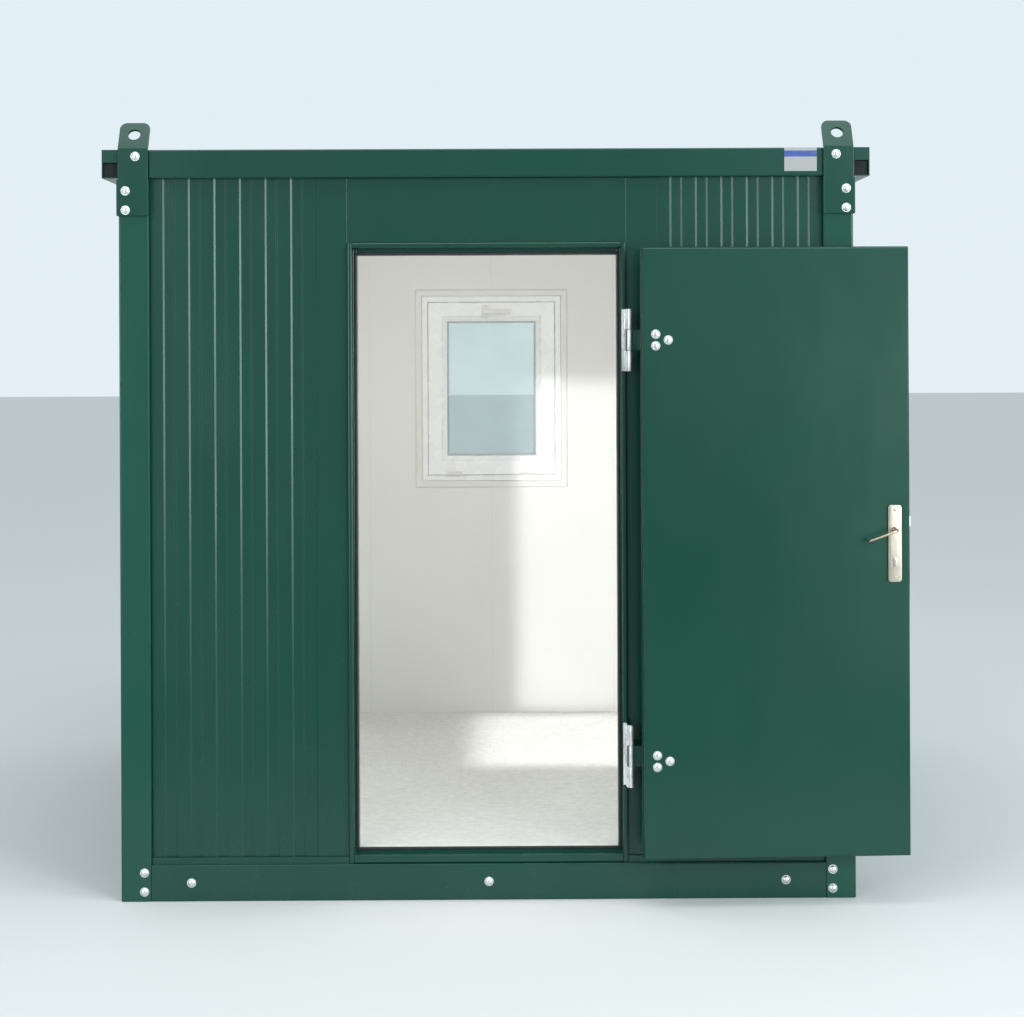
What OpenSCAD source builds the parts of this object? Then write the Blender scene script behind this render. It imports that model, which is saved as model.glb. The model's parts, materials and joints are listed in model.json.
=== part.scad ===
// Portable site cabin: a bolted steel frame filled with ribbed sandwich panels, with one
// outward-opening door in the front wall and one tilt window in the rear wall.
// Millimetres, +Z up. The front wall faces -Y, and the origin is on the ground at the
// middle of the base. The door pieces are drawn shut and then swung to the open pose.

/* [Cabin] */
// Width over the corner posts
cabin_w = 2438; // [2300:1:3000]
// Depth over the corner posts
cabin_d = 2438; // [2300:1:3000]
// Height from the ground to the top of the roof beams
cabin_h = 2493; // [2440:1:2700]
// Side of each square corner post, and depth of the beams and panels between them
post_w = 100; // [95:1:110]
// Height of the base beams
base_h = 120; // [110:1:122]
// Height of the roof beams
roof_beam_h = 95; // [80:1:110]
// Height of the floor's surface above the ground
floor_z = 150; // [140:1:160]
// Thickness of the floor deck
floor_t = 50; // [40:1:50]

/* [Walls] */
// How far the wall panels stand back from the face of the posts
wall_recess = 22; // [20:1:30]
// Distance from one groove of the outer sheet to the next
rib_pitch = 85; // [70:1:100]
// Depth of the grooves
rib_depth = 3; // [2:0.5:5]
// Width of each sloping flank of a groove
rib_slope = 5.5; // [3:0.5:6]
// Half the width of the smooth door module in the front wall
module_half = 569; // [540:1:600]

/* [Roof] */
// Width of the side rails that overhang the posts
rail_w = 55; // [40:1:80]
// Height of the side rails
rail_h = 95; // [80:1:95]
// Thickness of the steel of the side rails
rail_wall = 4; // [3:0.5:6]
// Height of the lip that closes the upper part of each rail's end
rail_lip_h = 43; // [30:1:50]
// Thickness of the ceiling panel
ceiling_t = 55; // [40:1:60]
// Height of the ribs of the roof sheet
roof_rib_h = 20; // [15:1:25]
// Distance between the ribs of the roof sheet
roof_rib_pitch = 200; // [150:10:250]

/* [Lifting lugs] */
// Thickness of the lug plate
lug_t = 10; // [8:1:12]
// Height of the flat part that is bolted to the post
lug_flat_h = 220; // [200:1:240]
// Length of the part that leans inwards over the roof
lug_lean_l = 102; // [95:1:110]
// Angle by which that part leans
lug_lean = 29; // [0:1:35]
// Diameter of the lifting hole
lug_hole_d = 40; // [30:1:45]
// Distance from the bend to the middle of the lifting hole
lug_hole_z = 54; // [45:1:55]

/* [Door] */
// Clear width of the doorway
clear_w = 868; // [800:1:900]
// Height of the threshold's walking surface above the ground
sill_z = 147; // [145:1:150]
// Height of the upstand behind the shut leaf above the ground
clear_low = 163; // [162:1:172]
// Height of the doorway's upper edge above the ground
clear_high = 2142; // [2000:1:2160]
// Width of the stops beside the doorway that the leaf closes against
stop_w = 13; // [12:1:20]
// Width of the stop over the doorway
head_stop_w = 23; // [15:1:30]
// Width of the door frame's face around the leaf
frame_face_w = 17; // [15:1:20]
// Gap beside and over the shut leaf
leaf_gap = 5; // [5:0.5:6]
// Gap between the threshold and the shut leaf
leaf_foot_gap = 10; // [8:1:12]
// Thickness of the door leaf
leaf_t = 40; // [38:1:44]
// How far the shut leaf and the frame's face stand back from the face of the posts
leaf_recess = 10; // [8:1:12]
// Distance of the hinge axis in front of the face of the posts
hinge_out = 30; // [25:1:35]
// Distance of the hinge axis beyond the edge of the leaf
hinge_side = 30; // [28:1:36]
// Opening angle of the door as drawn
door_open = 182; // [0:1:182]

/* [Handle] */
// Distance from the leaf's free edge to the spindle
backset = 54; // [50:1:60]
// Height of the spindle above the ground
spindle_z = 1231; // [1150:1:1300]
// Length of the lever from the spindle to its tip
lever_l = 104; // [95:1:108]
// Droop of the lever at rest
lever_droop = 20; // [0:1:25]

/* [Window] */
// Width of the window frame
win_w = 640; // [600:1:900]
// Height of the window frame's lower edge above the ground
win_low = 1216; // [1000:1:1300]
// Height of the window frame's upper edge above the ground
win_high = 2067; // [1900:1:2100]

/* [Hidden] */
$fn = 64;

// Paint and metal colours
green = "#1f4a3d";
white = "#e9e8e4";
zinc = "#b9bdbf";
black = "#161718";

// Turns that carry a piece drawn at the front to each side of the cabin
at_front = 0;
at_right = 90;
at_rear = 180;
at_left = 270;

half_w = cabin_w / 2;
half_d = cabin_d / 2;
wall_low = base_h;
wall_high = cabin_h - roof_beam_h;
wall_face_in = post_w;
wall_t = wall_face_in - wall_recess;
room_half_w = half_w - wall_face_in;
room_half_d = half_d - wall_face_in;
beam_half_w = half_w - post_w;
beam_half_d = half_d - post_w;

// Foot flashing that stands on the base beams in front of the panels
flashing_t = 8;
flashing_h = 22;
// Least flat strip beside the first groove of a ribbed panel
rib_margin = 30;
// Floor bearers
bearer_w = 60;
bearer_h = 100;
bearer_count = 5;
// Crown width of the roof sheet's ribs, and width of their flanks
roof_crown_w = 40;
roof_flank_w = 15;
// Rail ends
rail_lip_t = 6;
plug_depth = 20;
plug_recess = 8;
// Lug plate
lug_corner_r = 24;
lug_tab_t = 5;
lug_tab_w = 60;
lug_tab_gap = 6;

// Door frame, measured from the middle of the doorway and from the ground
clear_half = clear_w / 2;
rebate_half = clear_half + stop_w;
frame_half = rebate_half + frame_face_w;
rebate_high = clear_high + head_stop_w;
frame_high = rebate_high + frame_face_w;
seal_t = 3;
seal_w = 9;
seal_edge = 1;
stop_y = leaf_recess + leaf_t + leaf_gap + seal_t;
// Door leaf, shut
leaf_half = rebate_half - leaf_gap;
leaf_low = sill_z + leaf_foot_gap;
leaf_high = rebate_high - leaf_gap;
leaf_face_y = -half_d + leaf_recess;
leaf_back_y = leaf_face_y + leaf_t;
leaf_step = 4;
leaf_flange_t = 16;
// Hinges
hinge_x = leaf_half + hinge_side;
hinge_y = -half_d - hinge_out;
hinge_h = 205;
hinge_gap = 2;
knuckle_h = (hinge_h - 2 * hinge_gap) / 3;
knuckle_r = 9;
hinge_pin_r = 5;
hinge_bore_r = 5.2;
hinge_plate_t = 5;
hinge_web_t = 6;
hinge_strap_l = 106;
hinge_strap_tip_h = 34;
hinge_strap_h = 84;
hinge_heights = [leaf_low + 324, leaf_high - 305];
// Handle
spindle_x = -leaf_half + backset;
plate_w = 45;
plate_t = 8;
plate_low = spindle_z - 172;
plate_high = spindle_z + 81;
plate_corner_r = 10;
neck_r = 9;
neck_bore_r = 10;
spindle_r = 6;
spindle_bore_r = 8;
lever_out = 44;
lever_r = 6;
lever_return_l = 40;
cylinder_drop = 100;
cylinder_r = 8.5;
cylinder_fin_w = 10;
cylinder_fin_l = 24;
cylinder_out = 2.5;
faceplate_w = 20;
faceplate_h = 235;
faceplate_t = 2;
faceplate_drop = 20;
latch_low = 8;
latch_h = 35;
latch_t = 14;
// Window
win_half = win_w / 2;
win_frame_w = 28;
win_frame_t = 65;
sash_gap = 1;
sash_w = 87;
sash_proud = 13;
glass_t = 24;
casing_w = 30;
casing_t = 8;
trim_t = 4;
sash_half = win_half - win_frame_w - sash_gap;
sash_low = win_low + win_frame_w + sash_gap;
sash_high = win_high - win_frame_w - sash_gap;
glass_half = sash_half - sash_w;
glass_low = sash_low + sash_w;
glass_high = sash_high - sash_w;
sash_y_low = wall_face_in - win_frame_t + 10;
sash_y_high = wall_face_in + sash_proud;
// Label plate
label_w = 108;
label_h = 78;
label_t = 1.5;
label_from_post = 21;

// ---------------------------------------------------------------- helpers

// Box from its lowest to its highest corner
module box(low, high) {
    translate(low) cube(high - low);
}

// Turns a piece drawn at the front, with y counted inwards from the face of the posts,
// to one side of the cabin
module on_side(turn) {
    rotate([0, 0, turn])
        translate([0, -(turn % 180 == 0 ? half_d : half_w), 0])
            children();
}

// The piece and its mirror image on the other side of the middle plane
module both_hands() {
    children();
    mirror([1, 0, 0]) children();
}

// Half the length of the beams on one side
function beam_half(turn) = turn % 180 == 0 ? beam_half_w : beam_half_d;

// Ring with a rectangular hole, standing upright; out and hole are [half width, low, high]
module upright_ring(out, hole, y_low, y_high) {
    difference() {
        box([-out[0], y_low, out[1]], [out[0], y_high, out[2]]);
        box([-hole[0], y_low - 1, hole[1]], [hole[0], y_high + 1, hole[2]]);
    }
}

// Flat shape in the XY plane with four rounded corners
module rounded_rect(w, h, r) {
    translate([r, 0]) square([w - 2 * r, h]);
    translate([0, r]) square([w, h - 2 * r]);
    for (x = [r, w - r], y = [r, h - r])
        translate([x, y]) circle(r);
}

// Stands a flat shape upright: its Y becomes Z, and its thickness runs along +Y
module upright(thickness) {
    translate([0, thickness, 0]) rotate([90, 0, 0]) linear_extrude(thickness) children();
}

// ---------------------------------------------------------------- base and floor

// Beam on the ground; its flashing leaves out the middle as far as break_half on each side
module base_beam(turn, break_half = 0) {
    reach = beam_half(turn);
    color(green) on_side(turn) {
        box([-reach, 0, 0], [reach, post_w, base_h]);
        both_hands()
            box([break_half, wall_recess - flashing_t, base_h],
                [reach, wall_recess, base_h + flashing_h]);
    }
}

module base_beam_front() base_beam(at_front, frame_half);
module base_beam_rear() base_beam(at_rear);
module base_beams_side() {
    base_beam(at_right);
    base_beam(at_left);
}

module floor_bearers() {
    step = 2 * beam_half_d / (bearer_count + 1);
    middle = (bearer_count - 1) / 2;
    color(green)
        for (i = [0 : bearer_count - 1])
            translate([0, (i - middle) * step, 0])
                box([-beam_half_w, -bearer_w / 2, 0], [beam_half_w, bearer_w / 2, bearer_h]);
}

module floor_panel() {
    color("#cfcac0")
        box([-room_half_w, -room_half_d, floor_z - floor_t],
            [room_half_w, room_half_d, floor_z]);
}

// ---------------------------------------------------------------- frame

module corner_post(side, turn) {
    color(green) on_side(turn)
        translate([side * (half_w - post_w / 2) - post_w / 2, 0, 0])
            cube([post_w, post_w, cabin_h]);
}

module corner_post_front_left() corner_post(-1, at_front);
module corner_post_front_right() corner_post(1, at_front);
module corner_post_rear_left() corner_post(1, at_rear);
module corner_post_rear_right() corner_post(-1, at_rear);

module roof_beam(turn) {
    reach = beam_half(turn);
    color(green) on_side(turn)
        box([-reach, 0, wall_high], [reach, post_w, cabin_h]);
}

module roof_beam_front() roof_beam(at_front);
module roof_beam_rear() roof_beam(at_rear);
module roof_beams_side() {
    roof_beam(at_right);
    roof_beam(at_left);
}

// Hollow rail along the top of one side, open at both ends below a lip
module roof_rail(turn) {
    low = cabin_h - rail_h;
    color(green) on_side(turn) {
        difference() {
            box([-half_d, -rail_w, low], [half_d, 0, cabin_h]);
            box([-half_d - 1, -rail_w + rail_wall, low + rail_wall],
                [half_d + 1, -rail_wall, cabin_h - rail_wall]);
        }
        both_hands()
            box([half_d - rail_lip_t, -rail_w + rail_wall / 2, cabin_h - rail_lip_h],
                [half_d, -rail_wall / 2, cabin_h - rail_wall / 2]);
    }
}

module roof_rail_left() roof_rail(at_left);
module roof_rail_right() roof_rail(at_right);

// Plastic plugs in the open ends of the rails
module rail_end_plugs() {
    low = cabin_h - rail_h + rail_wall;
    color(black)
        for (turn = [at_right, at_left])
            on_side(turn) both_hands()
                box([half_d - plug_recess - plug_depth, -rail_w + rail_wall, low],
                    [half_d - plug_recess, -rail_wall, cabin_h - rail_lip_h]);
}

// Profiled sheet between the roof beams, its ribs running from front to rear
module roof_sheet() {
    low = wall_high + ceiling_t;
    valley = low + 8;
    crown = valley + roof_rib_h;
    count = floor((2 * beam_half_w - roof_rib_pitch / 2) / roof_rib_pitch);
    first = -(count - 1) / 2 * roof_rib_pitch;
    foot = roof_crown_w / 2 + roof_flank_w;
    ribs = [for (i = [0 : count - 1]) let (x = first + i * roof_rib_pitch)
        each [[x - foot, valley], [x - roof_crown_w / 2, crown],
              [x + roof_crown_w / 2, crown], [x + foot, valley]]];
    color(green)
        translate([0, beam_half_d, 0]) rotate([90, 0, 0]) linear_extrude(2 * beam_half_d)
            polygon(concat([[-beam_half_w, low], [-beam_half_w, valley]], ribs,
                           [[beam_half_w, valley], [beam_half_w, low]]));
}

module ceiling_panel() {
    color(white)
        box([-beam_half_w, -beam_half_d, wall_high],
            [beam_half_w, beam_half_d, wall_high + ceiling_t]);
}

// ---------------------------------------------------------------- lifting lugs

// Plate on the face of one post, with a tab round the corner, and an eye bent over the roof
module lifting_lug() {
    low = cabin_h - lug_flat_h;
    tab_high = cabin_h - rail_h - lug_tab_gap;
    eye = lug_lean_l * [sin(lug_lean), cos(lug_lean)];
    across = lug_t * [-cos(lug_lean), sin(lug_lean)];
    bend = [-lug_t, cabin_h + lug_t * tan(lug_lean / 2)];
    foot = [0, cabin_h];
    translate([-half_w, 0, 0]) {
        box([-lug_tab_t, -lug_t, low], [0, lug_tab_w, tab_high]);
        difference() {
            rotate([90, 0, 90]) linear_extrude(post_w)
                polygon([[0, low], foot, foot + eye, foot + eye + across, bend, [-lug_t, low]]);
            translate([post_w / 2, 0, cabin_h]) rotate([-lug_lean, 0, 0]) {
                translate([0, -lug_t - 1, lug_hole_z]) rotate([-90, 0, 0])
                    cylinder(h = lug_t + 2, d = lug_hole_d);
                both_hands() lug_corner_cut();
            }
        }
    }
}

// What is cut from one upper corner of the eye to round it
module lug_corner_cut() {
    edge = post_w / 2;
    difference() {
        box([edge - lug_corner_r, -lug_t - 1, lug_lean_l - lug_corner_r],
            [edge + 1, 1, lug_lean_l + 1]);
        translate([edge - lug_corner_r, -lug_t - 2, lug_lean_l - lug_corner_r])
            rotate([-90, 0, 0]) cylinder(h = lug_t + 4, r = lug_corner_r);
    }
}

module lifting_lugs(turn) {
    color(green) on_side(turn) both_hands() lifting_lug();
}

module lifting_lugs_front() lifting_lugs(at_front);
module lifting_lugs_rear() lifting_lugs(at_rear);

// ---------------------------------------------------------------- walls

function groove_count(length) =
    floor((length - 2 * rib_margin + rib_pitch / 2) / rib_pitch);
function groove_start(length) =
    (length - (groove_count(length) - 0.5) * rib_pitch) / 2;
function groove_points(length) = [
    for (i = [0 : groove_count(length) - 1])
        let (x0 = groove_start(length) + i * rib_pitch, x1 = x0 + rib_pitch / 2)
            each [[x0, 0], [x0 + rib_slope, rib_depth], [x1 - rib_slope, rib_depth], [x1, 0]]
];

// Sandwich panel with a grooved outer sheet, from x_low to x_high and z_low to z_high
module ribbed_panel(x_low, x_high, z_low, z_high) {
    length = x_high - x_low;
    translate([x_low, wall_recess, z_low])
        linear_extrude(z_high - z_low)
            polygon(concat([[0, 0]], groove_points(length),
                           [[length, 0], [length, wall_t], [0, wall_t]]));
}

module plain_panel(x_low, x_high, z_low, z_high) {
    box([x_low, wall_recess, z_low], [x_high, wall_face_in, z_high]);
}

module front_wall_left() {
    color(green) on_side(at_front)
        ribbed_panel(-beam_half_w, -module_half, wall_low, wall_high);
}

module front_wall_right() {
    color(green) on_side(at_front)
        ribbed_panel(module_half, beam_half_w, wall_low, wall_high);
}

module door_surround_sides() {
    color(green) on_side(at_front) both_hands()
        plain_panel(frame_half, module_half, wall_low, wall_high);
}

module door_surround_head() {
    color(green) on_side(at_front)
        plain_panel(-frame_half, frame_half, frame_high, wall_high);
}

module side_wall(turn) {
    color(green) on_side(turn)
        ribbed_panel(-beam_half_d, beam_half_d, wall_low, wall_high);
}

module side_wall_left() side_wall(at_left);
module side_wall_right() side_wall(at_right);

module rear_wall_left() {
    color(green) on_side(at_rear)
        ribbed_panel(win_half, beam_half_w, wall_low, wall_high);
}

module rear_wall_right() {
    color(green) on_side(at_rear)
        ribbed_panel(-beam_half_w, -win_half, wall_low, wall_high);
}

module rear_wall_under_window() {
    color(green) on_side(at_rear) ribbed_panel(-win_half, win_half, wall_low, win_low);
}

module rear_wall_over_window() {
    color(green) on_side(at_rear) ribbed_panel(-win_half, win_half, win_high, wall_high);
}

// ---------------------------------------------------------------- door frame

// Each jamb is a face strip with a deeper stop beside it
module door_jambs() {
    color(green) on_side(at_front) both_hands() {
        box([rebate_half, leaf_recess, wall_low], [frame_half, wall_face_in, frame_high]);
        box([clear_half, stop_y, sill_z], [rebate_half, wall_face_in, rebate_high]);
    }
}

module door_head() {
    color(green) on_side(at_front) {
        box([-rebate_half, leaf_recess, rebate_high], [rebate_half, wall_face_in, frame_high]);
        box([-clear_half, stop_y, clear_high], [clear_half, wall_face_in, rebate_high]);
    }
}

module door_threshold() {
    color(green) on_side(at_front) {
        box([-rebate_half, leaf_recess, wall_low], [rebate_half, wall_face_in, sill_z]);
        box([-clear_half, stop_y, sill_z], [clear_half, wall_face_in, clear_low]);
    }
}

// Rubber seal on the face of the stops
module door_seal() {
    out = seal_edge + seal_w;
    color(black) on_side(at_front)
        upright_ring([clear_half + out, clear_low - out, clear_high + out],
                     [clear_half + seal_edge, clear_low - seal_edge, clear_high + seal_edge],
                     stop_y - seal_t, stop_y);
}

// ---------------------------------------------------------------- hinges

// Places one hinge half at each hinge height, with the hinge axis as its Z axis
module at_hinges() {
    for (z = hinge_heights)
        translate([hinge_x, hinge_y, z - hinge_h / 2]) children();
}

// Fixed halves: a plate on the frame's face, two knuckles on webs, and the pin
module hinge_frame_halves() {
    plate_y = hinge_out + leaf_recess;
    plate_left = rebate_half + 1 - hinge_x;
    plate_right = frame_half - 1 - hinge_x;
    color(zinc) at_hinges() {
        box([plate_left, plate_y - hinge_plate_t, 0], [plate_right, plate_y, hinge_h]);
        cylinder(h = hinge_h, r = hinge_pin_r);
        for (z = [0, hinge_h - knuckle_h]) translate([0, 0, z]) {
            cylinder(h = knuckle_h, r = knuckle_r);
            box([plate_right - hinge_web_t, -hinge_web_t / 2, 0],
                [plate_right, plate_y - hinge_plate_t, knuckle_h]);
            box([plate_right - hinge_web_t, -hinge_web_t / 2, 0],
                [0, hinge_web_t / 2, knuckle_h]);
        }
    }
}

// Moving halves: a tapered strap on the leaf, cranked out to the middle knuckle
module hinge_door_halves() {
    face_y = hinge_out + leaf_recess;
    edge_x = -hinge_side;
    strap_mid = hinge_h / 2;
    knuckle_low = knuckle_h + hinge_gap;
    color(zinc) door_pose() at_hinges() difference() {
        union() {
            translate([edge_x, face_y - hinge_plate_t, strap_mid]) upright(hinge_plate_t)
                polygon([[0, -hinge_strap_h / 2], [0, hinge_strap_h / 2],
                         [-hinge_strap_l * 0.45, hinge_strap_h / 2],
                         [-hinge_strap_l, hinge_strap_tip_h / 2],
                         [-hinge_strap_l, -hinge_strap_tip_h / 2],
                         [-hinge_strap_l * 0.45, -hinge_strap_h / 2]]);
            translate([0, 0, knuckle_low]) {
                box([edge_x - hinge_web_t, -hinge_web_t / 2, 0],
                    [edge_x, face_y, knuckle_h]);
                box([edge_x, -hinge_web_t / 2, 0], [0, hinge_web_t / 2, knuckle_h]);
                cylinder(h = knuckle_h, r = knuckle_r);
            }
        }
        cylinder(h = hinge_h, r = hinge_bore_r);
    }
}

// ---------------------------------------------------------------- door leaf and handle

// Swings pieces drawn shut to the open pose
module door_pose() {
    translate([hinge_x, hinge_y, 0]) rotate([0, 0, door_open])
        translate([-hinge_x, -hinge_y, 0]) children();
}

// Steel leaf whose outer flange stands out round the inner tray
module door_leaf() {
    color(green) door_pose() difference() {
        union() {
            box([-leaf_half, leaf_face_y, leaf_low],
                [leaf_half, leaf_face_y + leaf_flange_t, leaf_high]);
            box([-leaf_half + leaf_step, leaf_face_y, leaf_low + leaf_step],
                [leaf_half - leaf_step, leaf_back_y, leaf_high - leaf_step]);
        }
        translate([spindle_x, leaf_face_y - 1, spindle_z]) rotate([-90, 0, 0])
            cylinder(h = leaf_t + 2, r = spindle_bore_r);
        faceplate_box(1);
    }
}

// Space of the lock's faceplate in the free edge of the leaf's inner tray
module faceplate_box(extra) {
    edge = -leaf_half + leaf_step;
    mid = spindle_z - faceplate_drop;
    y_mid = (leaf_face_y + leaf_flange_t + leaf_back_y) / 2;
    box([edge - extra, y_mid - faceplate_w / 2, mid - faceplate_h / 2],
        [edge + faceplate_t, y_mid + faceplate_w / 2, mid + faceplate_h / 2]);
}

// Faceplate with the nose of the latch, which reaches as far as the leaf's flange
module lock_faceplate() {
    y_mid = (leaf_face_y + leaf_flange_t + leaf_back_y) / 2;
    color(zinc) door_pose() {
        faceplate_box(0);
        box([-leaf_half, y_mid - latch_t / 2, spindle_z + latch_low],
            [-leaf_half + leaf_step + faceplate_t, y_mid + latch_t / 2,
             spindle_z + latch_low + latch_h]);
    }
}

// Long plates on both faces, each with the end of the lock cylinder
module handle_plates() {
    color(zinc) door_pose() {
        translate([spindle_x, leaf_face_y - plate_t, 0]) handle_plate(-cylinder_out);
        translate([spindle_x, leaf_back_y, 0]) handle_plate(cylinder_out);
    }
}

// One plate, its back or front face at y = 0; the cylinder stands proud by out
module handle_plate(out) {
    difference() {
        translate([-plate_w / 2, 0, plate_low]) upright(plate_t)
            rounded_rect(plate_w, plate_high - plate_low, plate_corner_r);
        translate([0, -1, spindle_z]) rotate([-90, 0, 0])
            cylinder(h = plate_t + 2, r = neck_bore_r);
    }
    translate([0, max(out, 0), spindle_z - cylinder_drop]) translate([0, min(out, 0), 0])
        upright(plate_t) {
            circle(cylinder_r);
            translate([-cylinder_fin_w / 2, -cylinder_fin_l])
                square([cylinder_fin_w, cylinder_fin_l]);
        }
}

// Spindle with a lever on each side; y counts from the leaf's outer face
module lever_handles() {
    outer_y = -plate_t - lever_out;
    inner_y = leaf_t + plate_t + lever_out;
    color(zinc) door_pose() translate([spindle_x, leaf_face_y, spindle_z])
        rotate([0, lever_droop, 0]) {
            rod_y(0, leaf_t, spindle_r);
            rod_y(outer_y, 0, neck_r);
            rod_y(leaf_t, inner_y, neck_r);
            lever_arm(outer_y, 1);
            lever_arm(inner_y, -1);
        }
}

module rod_y(y_low, y_high, r) {
    translate([0, y_low, 0]) rotate([-90, 0, 0]) cylinder(h = y_high - y_low, r = r);
}

// Arm along +X whose end turns back towards the leaf
module lever_arm(y, towards) {
    reach = lever_l - lever_r;
    translate([0, y, 0]) {
        sphere(neck_r);
        rotate([0, 90, 0]) cylinder(h = reach, r = lever_r);
        translate([reach, 0, 0]) {
            sphere(lever_r);
            rotate([towards > 0 ? -90 : 90, 0, 0]) cylinder(h = lever_return_l, r = lever_r);
        }
    }
}

// ---------------------------------------------------------------- window

// y counts inwards from the face of the posts, so the room side has the larger y
module window_frame() {
    color(white) on_side(at_rear)
        upright_ring([win_half, win_low, win_high],
                     [win_half - win_frame_w, win_low + win_frame_w, win_high - win_frame_w],
                     wall_face_in - win_frame_t, wall_face_in);
}

module window_sash() {
    color(white) on_side(at_rear)
        upright_ring([sash_half, sash_low, sash_high], [glass_half, glass_low, glass_high],
                     sash_y_low, sash_y_high);
}

module window_glass() {
    mid = (sash_y_low + sash_y_high) / 2;
    color("#bcd3da", 0.4) on_side(at_rear)
        box([-glass_half, mid - glass_t / 2, glass_low],
            [glass_half, mid + glass_t / 2, glass_high]);
}

module window_casing() {
    color(white) on_side(at_rear)
        upright_ring([win_half + casing_w, win_low - casing_w, win_high + casing_w],
                     [win_half, win_low, win_high], wall_face_in, wall_face_in + casing_t);
}

module window_outer_trim() {
    color(green) on_side(at_rear)
        upright_ring([win_half + casing_w, win_low - casing_w, win_high + casing_w],
                     [win_half - 10, win_low + 10, win_high - 10],
                     wall_recess - trim_t, wall_recess);
}

// Handle on the top bar of the sash and the two hinge covers at its foot
module window_fittings() {
    handle_x = 27;
    handle_z = sash_high - sash_w / 2;
    cover_x = 170;
    cover_w = 70;
    cover_h = 16;
    cover_t = 10;
    rose_w = 30;
    rose_h = 64;
    rose_t = 10;
    arm_out = 40;
    arm_l = 120;
    arm_w = 20;
    arm_t = 12;
    color(white) on_side(at_rear) translate([0, sash_y_high, 0]) {
        translate([handle_x, 0, handle_z]) {
            translate([-rose_w / 2, 0, -rose_h / 2]) upright(rose_t)
                rounded_rect(rose_w, rose_h, rose_w / 3);
            rod_y(0, arm_out, arm_t / 2);
            translate([-arm_l, arm_out - arm_t / 2, -arm_w / 2]) upright(arm_t)
                rounded_rect(arm_l + arm_w / 2, arm_w, arm_w / 2 - 1);
        }
        both_hands()
            box([cover_x - cover_w / 2, 0, sash_low],
                [cover_x + cover_w / 2, cover_t, sash_low + cover_h]);
    }
}

// ---------------------------------------------------------------- label

module label_plate() {
    right = beam_half_w - label_from_post;
    color(white) on_side(at_front)
        box([right - label_w, -label_t, cabin_h - label_h - 1], [right, 0, cabin_h - 1]);
}

base_beam_front();
base_beam_rear();
base_beams_side();
floor_bearers();
floor_panel();
corner_post_front_left();
corner_post_front_right();
corner_post_rear_left();
corner_post_rear_right();
roof_beam_front();
roof_beam_rear();
roof_beams_side();
roof_rail_left();
roof_rail_right();
rail_end_plugs();
roof_sheet();
ceiling_panel();
lifting_lugs_front();
lifting_lugs_rear();
front_wall_left();
front_wall_right();
door_surround_sides();
door_surround_head();
side_wall_left();
side_wall_right();
rear_wall_left();
rear_wall_right();
rear_wall_under_window();
rear_wall_over_window();
door_jambs();
door_head();
door_threshold();
door_seal();
hinge_frame_halves();
window_frame();
window_sash();
window_glass();
window_casing();
window_outer_trim();
window_fittings();
label_plate();
door_leaf();
hinge_door_halves();
handle_plates();
lock_faceplate();
lever_handles();
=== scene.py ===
# %% [markdown]
# # A portable site cabin, finished over its CAD frame
#
# A site cabin is a bolted steel frame: four posts, beams at the ground and under the roof, and
# thin sandwich panels between them. Every piece below stands for one or more of its nodes and
# rides on the body it belongs to, so the door still swings and the lever still turns. All
# measures are in metres, the front faces -Y, and the origin is on the ground at the middle of
# the base.
# %% The frame and its measures
import json
import math
import bmesh
import bpy
from mathutils import Matrix, Vector


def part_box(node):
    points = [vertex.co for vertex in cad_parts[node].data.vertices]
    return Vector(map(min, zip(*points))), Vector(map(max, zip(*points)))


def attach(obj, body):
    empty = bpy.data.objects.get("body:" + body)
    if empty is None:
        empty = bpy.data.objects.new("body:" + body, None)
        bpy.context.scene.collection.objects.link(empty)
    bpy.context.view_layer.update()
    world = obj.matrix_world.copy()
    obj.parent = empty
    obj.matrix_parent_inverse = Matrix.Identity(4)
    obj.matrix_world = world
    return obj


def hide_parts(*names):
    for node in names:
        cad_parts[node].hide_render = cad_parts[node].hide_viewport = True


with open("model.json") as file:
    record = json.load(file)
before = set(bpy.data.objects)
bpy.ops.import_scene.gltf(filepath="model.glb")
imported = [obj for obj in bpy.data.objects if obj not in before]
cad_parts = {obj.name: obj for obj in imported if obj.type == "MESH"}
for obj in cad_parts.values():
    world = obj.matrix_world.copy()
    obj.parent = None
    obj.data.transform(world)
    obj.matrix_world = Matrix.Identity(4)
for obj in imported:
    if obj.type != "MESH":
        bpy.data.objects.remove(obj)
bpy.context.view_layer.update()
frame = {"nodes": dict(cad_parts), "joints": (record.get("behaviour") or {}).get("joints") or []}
joints = {joint["name"]: joint for joint in frame["joints"]}

# %% [markdown]
# ## Where things are
#
# Nothing is placed by eye. The boxes of the CAD nodes give the faces of the posts, the panels
# and the window, and the joints give the hinge line and the spindle. The door is
# easiest to draw shut, flat in the front wall, and then to swing by the angle between the
# shut pose and the pose in the frame, so one matrix carries all of its pieces. The leaf's
# two faces are given as depths behind the front face of the posts.
# %% Faces, openings and the door's swing
post_low, post_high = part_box("corner_post_front_left")
half = -post_low.y
face = post_low.y
post_w = post_high.x - post_low.x
room_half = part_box("rear_wall_left")[0].y
LEAF_FRONT, LEAF_BACK = 0.010, 0.050
hinge = Vector(joints["door_hinge"]["pos_m"])
swing = (Matrix.Translation(hinge)
         @ Matrix.Rotation(math.radians(-joints["door_hinge"]["range_deg"][0]), 4, "Z")
         @ Matrix.Translation(-hinge))
spindle = swing.inverted() @ Vector(joints["lever_turn"]["pos_m"])
print("half width", round(half, 4), "room", round(room_half, 4), "spindle", spindle[:])

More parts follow.
